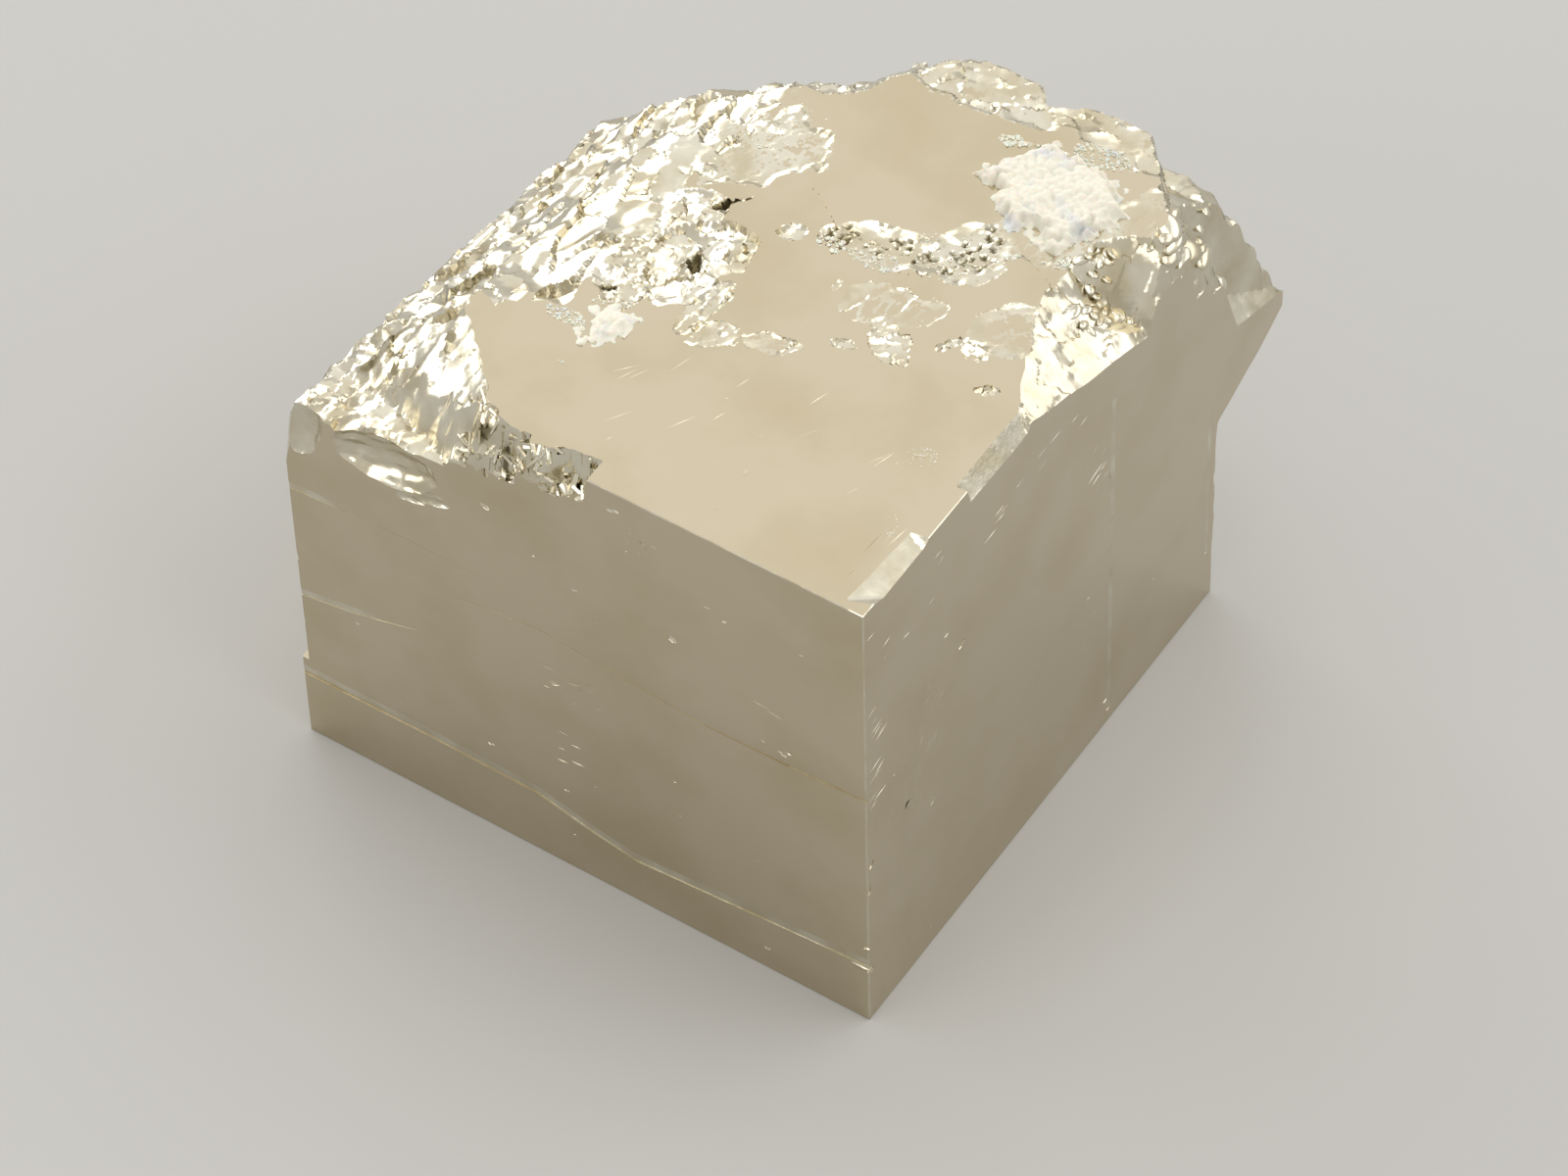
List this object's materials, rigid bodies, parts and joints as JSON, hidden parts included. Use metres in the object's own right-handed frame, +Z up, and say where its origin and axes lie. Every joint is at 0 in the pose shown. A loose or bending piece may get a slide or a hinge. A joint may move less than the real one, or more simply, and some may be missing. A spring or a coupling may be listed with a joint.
{
  "type": "pyrite cube crystal with broken crown",
  "caption": "Natural pyrite cube with mirror-flat faces, a broken and chipped crown, an overhanging back corner and small white mineral crusts; rests on its flat base.",
  "frame": {"origin": "bottom centre of the bounding box, on the flat base", "axes": "+Z up from the base. The smooth front face looks along -Y, the smooth right face along +X. The broken left corner is on the -X side and the overhang at the +X +Y corner."},
  "size_m": [0.054, 0.0614, 0.0503],
  "materials": {
    "pyrite": "polished",
    "white_crust": "matte"
  },
  "bodies": {
    "root": {"pyrite_cube": "pyrite", "white_crust_large": "white_crust", "white_crust_small": "white_crust"}
  },
  "joints": []
}
